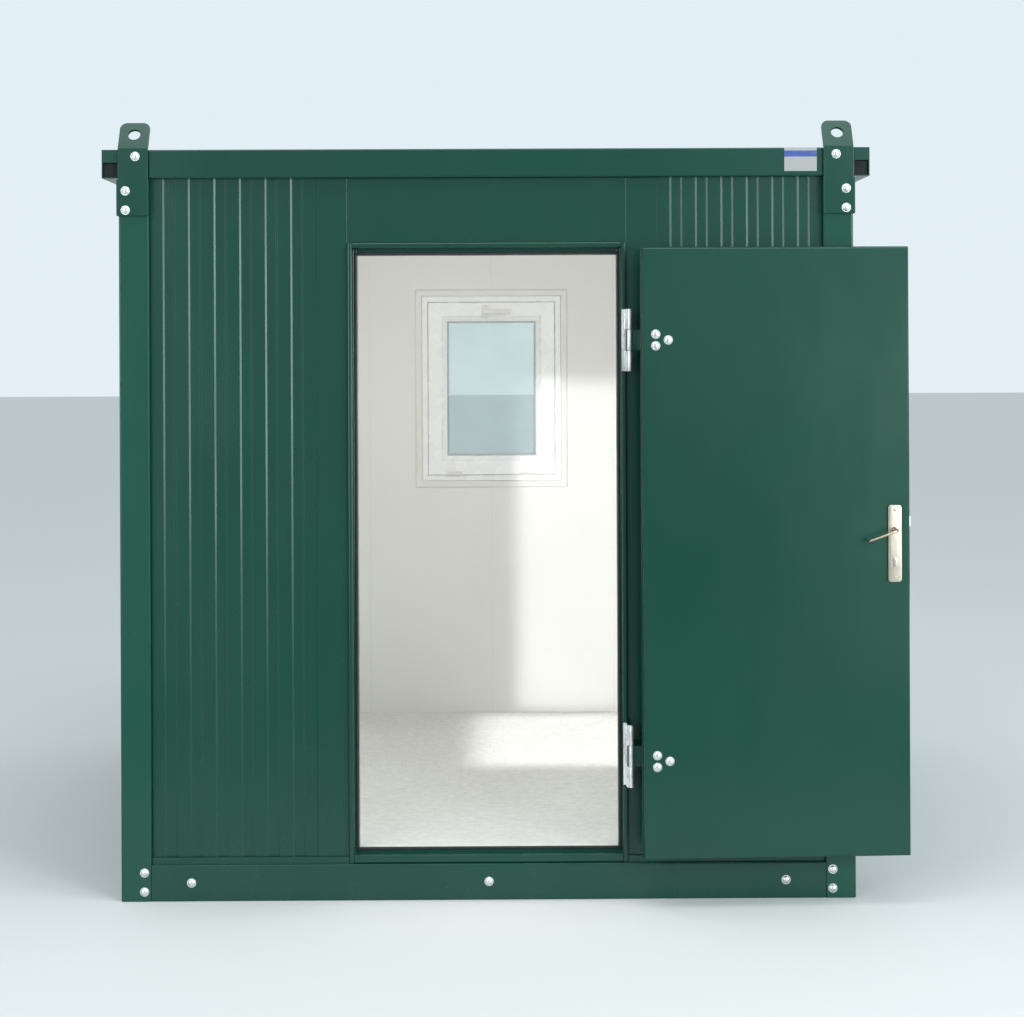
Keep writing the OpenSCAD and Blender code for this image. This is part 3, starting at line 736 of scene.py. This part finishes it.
def front_and_rear(spots):
    """The spots of the front face, (x, z), and the same on the rear face."""
    return [((x * side, face * side, z), (0, -side, 0)) for side in (1, -1) for x, z in spots]


frame_spots = front_and_rear([(s * foot_x, z) for s in (-1, 1) for z in FOOT_BOLTS]
                             + [(x, BEAM_BOLT_Z) for x in BEAM_BOLTS])
for s in (-1, 1):
    frame_spots += [((s * half, y, BEAM_BOLT_Z), (s, 0, 0)) for y in BEAM_BOLTS]
    for t in (-1, 1):
        frame_spots += [((s * half, foot_x * t, z), (s, 0, 0)) for z in FOOT_BOLTS]
        frame_spots += [((s * x, t * (half + LUG_FRONT_T), z), (0, t, 0)) for x, z in LUG_BOLTS]
        frame_spots += [((s * (half + LUG_SIDE_T), t * (half - LUG_SIDE_IN), z), (s, 0, 0))
                        for _, z in LUG_BOLTS[1:]]
bolts("frame_bolts", frame_spots, BOLT_R, BOLT_DOME, "cabin")

strap_z = [v.co.z for v in frame["nodes"]["hinge_door_halves"].data.vertices]
below, above = [z for z in strap_z if z < hinge.z], [z for z in strap_z if z > hinge.z]
hinge_z = [sum(heights) / len(heights) for heights in (below, above)]
strap_spots = [((x, face + depth, z + dz), (0, way, 0))
               for depth, way in ((LEAF_BACK, 1), (STRAP_FRONT, -1))
               for z in hinge_z for x, dz in STRAP_BOLTS]
bolts("hinge_bolts", strap_spots, BOLT_R, STRAP_DOME, "door", place=swing)
print("bolts", len(frame_spots), len(strap_spots), "hinge heights", hinge_z)

# %% [markdown]
# Small screws hold the roof sheet down, three of them along each valley.
# %% Roof screws
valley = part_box("roof_sheet")[1].z - RIB_H
SCREW_ROWS, SCREW_R, SCREW_DOME, OFF_RIB = (-1.07, 0.0, 1.07), 0.006, 0.003, 0.02
roof_spots = [((RIB_PITCH / 2 + RIB_PITCH * i - wide / 2 + OFF_RIB, y, valley), (0, 0, 1))
              for i in range(ribs) for y in SCREW_ROWS]
bolts("roof_screws", roof_spots, SCREW_R, SCREW_DOME, "cabin")
print("roof screws", len(roof_spots))

# %% [markdown]
# ## Frames that follow a rectangle
#
# Window profiles, casings and trims are bars cut at 45 degrees and joined at the corners. Each
# is one section swept along the four sides. The bars stop a hair short of each other, and that
# hair is the mitre line that one sees on every plastic window.
# %% Mitred bars
def mitred(name, half_w, low, high, section, place, material, gap=0.0002):
    """Four bars with the section [(inward, depth)] round a rectangle, seen along +Y."""
    mid, half_h = (low + high) / 2, (high - low) / 2
    work = bmesh.new()
    for turn in range(4):
        across, along = (half_h, half_w) if turn % 2 == 0 else (half_w, half_h)
        rings = []
        for end in (-1, 1):
            ring = []
            for inward, depth in section:
                u, v = end * (along - inward - gap), -(across - inward)
                for _ in range(turn):
                    u, v = -v, u
                ring.append(work.verts.new((u, depth, v + mid)))
            rings.append(ring)
        n = len(section)
        for i in range(n):
            j = (i + 1) % n
            work.faces.new((rings[0][i], rings[0][j], rings[1][j], rings[1][i]))
        work.faces.new(rings[0][::-1])
        work.faces.new(rings[1])
    bmesh.ops.recalc_face_normals(work, faces=work.faces)
    return mesh_piece(name, shaped(name, work, place), [material])


# %% [markdown]
# The window is drawn as if it stood at the front, seen from outside, and turned to the rear
# wall. Its boxes give every outer size and depth, so only the profiles' own
# chamfers and steps are chosen here.
# %% Window frame, sash, casing and outer trim
to_rear = Matrix.Rotation(math.pi, 4, "Z") @ Matrix.Translation((0, -half, 0))
win_low, win_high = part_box("window_frame")
sash_low, sash_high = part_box("window_sash")
pane_low, pane_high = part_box("window_glass")
case_low, case_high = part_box("window_casing")
trim_low, trim_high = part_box("window_outer_trim")


def depths(low, high):
    """The depths of a node's outer and room faces behind the rear face of the posts."""
    return half - high.y, half - low.y


def rim(low, high):
    return high.x, low.z, high.z


FRAME_W, TRIM_W, GLASS_IN, PANE_T = 0.028, 0.040, 0.020, 0.004
d0, d1 = depths(win_low, win_high)
keep(mitred("window_frame_bars", *rim(win_low, win_high),
            [(0, d0 + 0.002), (0.002, d0), (FRAME_W - 0.002, d0), (FRAME_W, d0 + 0.002),
             (FRAME_W, d1 - 0.003), (FRAME_W - 0.003, d1), (0.002, d1), (0, d1 - 0.002)],
            to_rear, pvc), "cabin", ["window_frame"])
d0, d1 = depths(sash_low, sash_high)
g0, g1 = depths(pane_low, pane_high)
sash_w = sash_high.x - pane_high.x
bead = sash_w - GLASS_IN
keep(mitred("window_sash_bars", *rim(sash_low, sash_high),
            [(0, d0 + 0.002), (0.002, d0), (bead, d0), (sash_w - 0.004, g0 - 0.006),
             (sash_w, g0 - 0.004), (sash_w, g1 + 0.004), (sash_w - 0.004, g1 + 0.006),
             (bead + 0.001, d1 - 0.004), (bead, d1 - 0.006), (bead - 0.001, d1 - 0.006),
             (bead - 0.002, d1 - 0.003), (bead - 0.005, d1), (0.004, d1), (0.0015, d1 - 0.0015),
             (0, d1 - 0.005)], to_rear, pvc), "cabin", ["window_sash"])
d0, d1 = depths(case_low, case_high)
case_w = case_high.x - win_high.x
keep(mitred("window_casing_bars", *rim(case_low, case_high),
            [(0, d0), (case_w, d0), (case_w, d1 - 0.002), (case_w - 0.002, d1),
             (0.006, d1), (0.002, d1 - 0.002), (0, d1 - 0.005)], to_rear, casing_plastic),
     "cabin", ["window_casing"])
d0, d1 = depths(trim_low, trim_high)
keep(mitred("window_trim_bars", *rim(trim_low, trim_high),
            [(0, d0 + 0.002), (0.002, d0), (TRIM_W - 0.002, d0), (TRIM_W, d0 + 0.002),
             (TRIM_W, d1), (0, d1)], to_rear, sheet_paint),
     "cabin", ["window_outer_trim"])
print("sash profile", round(sash_w, 3), "casing", round(case_w, 3))

# %% [markdown]
# The glazing is a sealed unit: two 4 mm panes with a spacer bar between them.
# %% Panes, spacer bar and window fittings
glass_half, glass_low, glass_high = rim(pane_low, pane_high)
for label, depth in (("outer", g0), ("inner", g1 - PANE_T)):
    pane = panel_piece("pane_" + label, [(-glass_half, glass_low), (glass_half, glass_low),
                                         (glass_half, glass_high), (-glass_half, glass_high)],
                       PANE_T, to_rear @ Matrix.Translation((0, depth, 0)), glass, 0.0004, 1)
    keep(pane, "cabin", ["window_glass"])
keep(mitred("spacer_bar", glass_half, glass_low, glass_high,
            [(0.001, g0 + PANE_T), (0.008, g0 + PANE_T), (0.008, g1 - PANE_T),
             (0.001, g1 - PANE_T)], to_rear, zinc, 0.0), "cabin")
smooth(softened("window_fitting_set", ["window_fittings"], 0.003, casing_plastic, "cabin",
                3))
print("space between panes", round(g1 - g0 - 2 * PANE_T, 4))

# %% [markdown]
# ## Gaskets along a path
#
# Rubber gaskets run round the doorway and round the glass. Here a third group sweeps a
# rounded bulb along a rectangle with rounded corners. Curve to Mesh does the work, so the
# corners bend as real rubber does.
# %% The node group of the gaskets
def gasket_group():
    tree = Grower("gasket", Width="FLOAT", Height="FLOAT", Corner="FLOAT", Across="FLOAT",
                  Deep="FLOAT", Rubber="MATERIAL")
    g = tree.given
    path = tree.add("GeometryNodeCurvePrimitiveQuadrilateral", {"mode": "RECTANGLE"},
                    {"Width": g["Width"], "Height": g["Height"]})
    path = tree.add("GeometryNodeFilletCurve", {"mode": "POLY"},
                    {"Curve": path, "Radius": g["Corner"], "Count": 5})
    bulb = tree.add("GeometryNodeCurvePrimitiveCircle", {"mode": "RADIUS"},
                    {"Resolution": 10, "Radius": 0.5})
    bulb = tree.add("GeometryNodeTransform", {}, {"Geometry": bulb,
                                                  "Scale": tree.point(g["Across"], g["Deep"],
                                                                      1.0)})
    swept = tree.add("GeometryNodeCurveToMesh", {}, {"Curve": path, "Profile Curve": bulb})
    return tree.finished(tree.painted(swept, g["Rubber"]))


gasket = gasket_group()
upright = Matrix.Rotation(math.radians(90), 4, "X")


def gasket_piece(name, half_w, low, high, across, deep, depth, material, place, nodes=()):
    piece = grown(name, gasket, {"Width": 2 * half_w, "Height": high - low, "Corner": 0.006,
                                 "Across": across, "Deep": deep, "Rubber": material})
    piece.data.transform(place @ Matrix.Translation((0, depth, (low + high) / 2)) @ upright)
    return keep(smooth(piece), "cabin", nodes)


seal_low, seal_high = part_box("door_seal")
seal_w = 0.009
gasket_piece("door_gasket", seal_high.x - seal_w / 2, seal_low.z + seal_w / 2,
             seal_high.z - seal_w / 2, seal_w, seal_high.y - seal_low.y + 0.001,
             (seal_low.y + seal_high.y) / 2, rubber, Matrix(), ["door_seal"])
for label, depth in (("outer", g0 - 0.002), ("inner", g1 + 0.002)):
    gasket_piece("glazing_gasket_" + label, glass_half - 0.001, glass_low + 0.001,
                 glass_high - 0.001, 0.008, 0.005, depth, grey_rubber, to_rear)
print("gasket width", seal_w)

# %% [markdown]
# ## Handle and lever
#
# A long plate with rounded ends sits on both faces of the leaf. The lever is a bar that leaves
# the spindle on a round neck, bends along the leaf and turns back at its end so that
# sleeves don't catch. It is drawn once as a section that follows a path, and mirrored for the
# other face. Its droop is the angle it has in the frame.
# %% Helpers for plates and levers
def rounded_outline(w, z0, z1, r, steps=6):
    """A rectangle with round corners, centred on x = 0."""
    spots = []
    for cx, cz, a0 in ((w / 2 - r, z1 - r, 0), (-w / 2 + r, z1 - r, 90),
                       (-w / 2 + r, z0 + r, 180), (w / 2 - r, z0 + r, 270)):
        for i in range(steps + 1):
            a = math.radians(a0 + 90 * i / steps)
            spots.append((cx + r * math.cos(a), cz + r * math.sin(a)))
    return spots


def swept(name, path, sizes, material, place, sides=14):
    """A tube through the points, each with its (half height, half depth)."""
    work = bmesh.new()
    rings = []
    for i, (spot, (tall, deep)) in enumerate(zip(path, sizes)):
        ahead = (path[min(i + 1, len(path) - 1)] - path[max(i - 1, 0)]).normalized()
        side = ahead.cross(Vector((0, 0, 1))).normalized()
        rings.append([work.verts.new(spot + Vector((0, 0, 1)) * tall * math.sin(a)
                                     + side * deep * math.cos(a))
                      for a in (2 * math.pi * k / sides for k in range(sides))])
    for a, b in zip(rings, rings[1:]):
        for k in range(sides):
            work.faces.new((a[k], a[(k + 1) % sides], b[(k + 1) % sides], b[k]))
    work.faces.new(rings[0][::-1])
    work.faces.new(rings[-1])
    bmesh.ops.recalc_face_normals(work, faces=work.faces)
    return smooth(mesh_piece(name, shaped(name, work, place), [material]), 50.0)


NECK, REACH, TURN = 0.044, 0.098, 0.012


def lever_line():
    """The lever's middle line out of the leaf, along it and back, with its half thicknesses."""
    line = [(0, out, size, size) for out, size in
            ((0.006, 0.0088), (0.014, 0.0086), (0.018, 0.0068), (0.032, 0.0062))]
    for i in range(7):
        a, t = math.radians(90 * i / 6), i / 6
        line.append((TURN * (1 - math.cos(a)), NECK - TURN + TURN * math.sin(a),
                     0.0062 - 0.0018 * t, 0.0062 + 0.0008 * t))
    for t in (i / 6 for i in range(1, 7)):
        line.append((TURN + (REACH - 2 * TURN) * t, NECK + 0.002 * math.sin(math.pi * t),
                     0.0044 - 0.0006 * t, 0.0070 - 0.0008 * t))
    for i in range(1, 7):
        a, t = math.radians(90 * i / 6), i / 6
        line.append((REACH - TURN + TURN * math.sin(a), NECK - TURN + TURN * math.cos(a),
                     0.0038 + 0.0010 * t, 0.0062 - 0.0006 * t))
    line += [(REACH, out, size, size) for out, size in
             ((0.022, 0.0050), (0.014, 0.0050), (0.0125, 0.0043), (0.012, 0.0030))]
    return [Vector((x, y, 0)) for x, y, _, _ in line], [(tall, deep) for *_, tall, deep in line]


print("lever points", len(lever_line()[0]))

# %% [markdown]
# Both faces of the leaf carry the same set, so a loop draws it once for each face, and a
# mirror turns the outer one round. The lock's barrel is a circle with a tail below it, cut
# through the plate. Its keyway is painted shade: a thin black slit standing just proud of
# the barrel, where the real slot lies in shadow.
# %% Plates, lock barrels, keyways, screws and levers
plate_low, plate_high = (corner.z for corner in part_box("handle_plates"))
PLATE_W, PLATE_T, PLATE_R, SCREW_IN = 0.045, 0.008, 0.010, 0.016
BARREL_DROP, BARREL_R, BARREL_TAIL = 0.100, 0.0085, 0.024
DROOP = math.radians(20)
drop = spindle.z - BARREL_DROP
barrel = [(BARREL_R * math.cos(math.radians(a)), drop + BARREL_R * math.sin(math.radians(a)))
          for a in range(-45, 226, 15)] + [(-0.005, drop - BARREL_TAIL),
                                           (0.005, drop - BARREL_TAIL)]
plate_outline = rounded_outline(PLATE_W, plate_low, plate_high, PLATE_R)
slit = rounded_outline(0.0018, drop - 0.004, drop + 0.0045, 0.0008, 2)
plates, barrels, keyway_shades, plate_spots, levers = [], [], [], [], []
for label, depth, way in (("outer", LEAF_FRONT, -1), ("inner", LEAF_BACK, 1)):
    surface = face + depth
    hand = Matrix.Diagonal((1, way, 1, 1))
    on_leaf = swing @ Matrix.Translation((spindle.x, surface, 0)) @ hand
    plates.append(smooth(panel_piece("plate_" + label, plate_outline, PLATE_T, on_leaf,
                                     champagne, 0.0025, 4), 50.0))
    barrels.append(smooth(panel_piece("barrel_" + label, barrel, PLATE_T + 0.0025, on_leaf,
                                      nickel, 0.0006, 2), 50.0))
    # Painted shade: a thin black slit stands for the dark inside of the keyway.
    keyway_shades.append(panel_piece("keyway_" + label, slit, PLATE_T + 0.0027, on_leaf, black,
                               0.0002, 1))
    plate_spots += [((spindle.x, surface + way * PLATE_T, z), (0, way, 0))
                    for z in (plate_high - SCREW_IN, plate_low + SCREW_IN)]
    on_spindle = (swing @ Matrix.Translation((spindle.x, surface, spindle.z)) @ hand
                  @ Matrix.Rotation(DROOP, 4, "Y"))
    levers.append(swept("lever_" + label, *lever_line(), brown_metal, on_spindle))
keep(joined("handle_plate_pair", plates), "door", ["handle_plates"])
keep(joined("lock_barrels", barrels), "door")
keep(joined("keyway_shades", keyway_shades), "door")
bolts("plate_screws", plate_spots, 0.0036, 0.0012, "door", champagne, "handle_metal", swing)
keep(joined("lever_pair", levers), "lever", ["lever_handles"])
print("handle height", round(spindle.z, 3), "plate", round(plate_high - plate_low, 3))

# %% [markdown]
# ## The label
#
# A plain plate at the top right, white with one blue band. The band is a height range in the
# material, so it needs no drawing.
# %% The label plate
low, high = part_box("label_plate")
finish = Finish("label_face", Roughness=0.3)
up = (finish.place.part("Z") - low.z) / (high.z - low.z)
band = up.ramp(0.60, 0.63) * up.ramp(0.86, 0.89, 1.0, 0.0)
dirt = finish.noise(60.0, 3.0).ramp(0.5, 0.8, 0.0, 0.12)
finish.wear(Base_Color=dirt.blend(band.blend((0.36, 0.355, 0.355), (0.05, 0.085, 0.32)),
                                  (0.5, 0.5, 0.48)))
softened("label", ["label_plate"], 0.0005, finish.material, "cabin")
print("label", round(high.x - low.x, 3), "by", round(high.z - low.z, 3))

# %% [markdown]
# ## Weld beads
#
# The jambs are welded in beside the threshold. A weld bead is a row of small overlapping
# ripples, none quite like the next, and a last group lays them along a line.
# %% The node group of the weld beads
def weld_group():
    tree = Grower("weld_bead", Line="GEOMETRY", Size="FLOAT", Paint="MATERIAL")
    g = tree.given
    path = tree.add("GeometryNodeMeshToCurve", {}, {0: g["Line"]})
    path = tree.add("GeometryNodeResampleCurve", {"mode": "LENGTH"},
                    {"Curve": path, "Length": g["Size"] * 0.6})
    ripple = tree.add("GeometryNodeMeshIcoSphere", {}, {"Radius": 0.5, "Subdivisions": 2})
    wobble = tree.add("FunctionNodeRandomValue", {"data_type": "FLOAT"},
                      {2: 0.85, 3: 1.1, "Seed": 4}, 1)
    beads = tree.repeat(ripple, path, Scale=tree.point(g["Size"], g["Size"], g["Size"]) * wobble)
    return tree.finished(tree.painted(beads, g["Paint"]))


welded = weld_group()


BEAD = 0.003


def weld(name, start, end):
    line = bpy.data.meshes.new(name + "_line")
    line.from_pydata([start, end], [(0, 1)], [])
    return grown(name, welded, {"Size": BEAD, "Paint": frame_paint}, line)


jamb_low, jamb_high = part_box("door_jambs")
bead_x, bead_z = jamb_high.x - 0.017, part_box("door_threshold")[1].z - 0.015
beads = [weld("bead", (s * bead_x, jamb_low.y + 0.001, bead_z),
              (s * bead_x, face + 0.055, bead_z)) for s in (-1, 1)]
keep(smooth(joined("frame_welds", beads)), "cabin")
print("welds", len(beads))

# %% [markdown]
# ## Studio
#
# A pale floor, a pale room and big soft lights. Gloss paint shows what surrounds it, so each
# light has a task. The tall ones stand at the sides, just where the slanted flanks of the
# grooves mirror them to the camera, and the flat sheet doesn't. The floor is darker
# well in front of the cabin, which is what the flat sheet and the door do mirror. One
# light fills the room, and two with a narrow spread throw the patches of sun that come
# through the doorway: a mirror must not show those, so glossy rays don't see them.
# %% Floor, room and lights
floor_mesh = bpy.data.meshes.new("studio_floor")
floor_mesh.from_pydata([(-40, -30, 0), (40, -30, 0), (40, 60, 0), (-40, 60, 0)], [],
                       [(0, 1, 2, 3)])
ground = Finish("studio_ground", Roughness=0.9, Specular_IOR_Level=0.0)
ahead = ground.place.part("Y").ramp(-3.4, -2.3)
aside = abs(ground.place.part("X")).ramp(2.2, 3.6)
ground.wear(Base_Color=ahead.larger(aside).blend((0.29, 0.29, 0.29), (0.68, 0.675, 0.67)))
floor = mesh_piece("studio_floor", floor_mesh, [ground.material])

world = bpy.data.worlds.new("studio_room")
world.use_nodes = True
bpy.context.scene.world = world
room = Tree(world.node_tree)
way = room.add("ShaderNodeTexCoord", output="Generated")
rise = way.part("Z")
sky = rise.ramp(-0.05, 0.5).blend((0.84, 0.94, 1.0), (0.82, 0.94, 1.0))
front = (way.part("Y").ramp(-0.95, -0.4, 0.6, 1.0)
         + way.part("X").ramp(0.06, 0.32, 0.0, 0.4) * way.part("Y").ramp(-0.8, -0.3, 1.0, 0.0))
backdrop = room.tree.nodes["Background"]
room.tree.links.new(sky.socket, backdrop.inputs["Color"])
room.tree.links.new((front * 0.92).socket, backdrop.inputs["Strength"])


def soft_light(name, size, place, aim, power, tint=(1, 1, 1), mirrored=True, spread=180):
    """A wide lamp that the camera doesn't see. A narrow spread throws a soft patch."""
    lamp = bpy.data.lights.new(name, "AREA")
    lamp.shape, lamp.size, lamp.size_y = "RECTANGLE", size[0], size[1]
    lamp.energy, lamp.color, lamp.spread = power, tint, math.radians(spread)
    stand = bpy.data.objects.new(name, lamp)
    bpy.context.scene.collection.objects.link(stand)
    stand.location = place
    stand.rotation_euler = (Vector(aim) - Vector(place)).to_track_quat("-Z", "Y").to_euler()
    stand.visible_camera, stand.visible_glossy = False, mirrored


TEAL, WARM = (0.88, 1.0, 0.98), (1.0, 0.99, 0.965)
soft_light("front_left", (1.8, 4.8), (-4.5, -7.6, 2.7), (1.0, -1.2, 1.4), 160, TEAL)
soft_light("front_right", (1.6, 4.8), (4.62, -7.1, 2.7), (-0.85, -1.2, 1.4), 240, TEAL)
soft_light("side_right", (1.6, 4.8), (7.0, -4.9, 2.7), (1.0, -1.2, 1.4), 140, TEAL)
soft_light("overhead", (5.0, 2.2), (0.0, -1.9, 6.5), (0.0, -1.2, 1.0), 130)
soft_light("room", (1.6, 0.5), (0.0, -0.85, 2.19), (-0.1, 0.7, 0.5), 16.5, WARM, False)
soft_light("wall_patch", (0.63, 1.54), (0.436, 0.3, 0.90), (0.436, 1.1, 0.90), 1.45,
           mirrored=False, spread=13)
soft_light("floor_patch", (0.78, 1.0), (0.32, 0.55, 1.1), (0.32, 0.55, 0.0), 1.9,
           mirrored=False, spread=16)
print("lights", len(bpy.data.lights))

# %% [markdown]
# The camera stands level at eye height, close to the middle of the front. It isn't tilted
# down: its picture is shifted instead, so the posts stay upright.
# %% Camera
camera = bpy.data.objects.new("camera", bpy.data.cameras.new("camera"))
bpy.context.scene.collection.objects.link(camera)
bpy.context.scene.camera = camera
camera.matrix_world = (Matrix.Translation((0.053, -7.229, 1.840))
                       @ Matrix.Rotation(math.radians(-0.292), 4, "Z")
                       @ Matrix.Rotation(math.radians(90), 4, "X")
                       @ Matrix.Rotation(math.radians(-0.245), 4, "Z"))
camera.data.sensor_width = 36.0
camera.data.lens = 63.69
camera.data.shift_y = -0.1595
bpy.context.scene.view_settings.view_transform = "Standard"
print("camera", tuple(round(c, 3) for c in camera.matrix_world.translation))
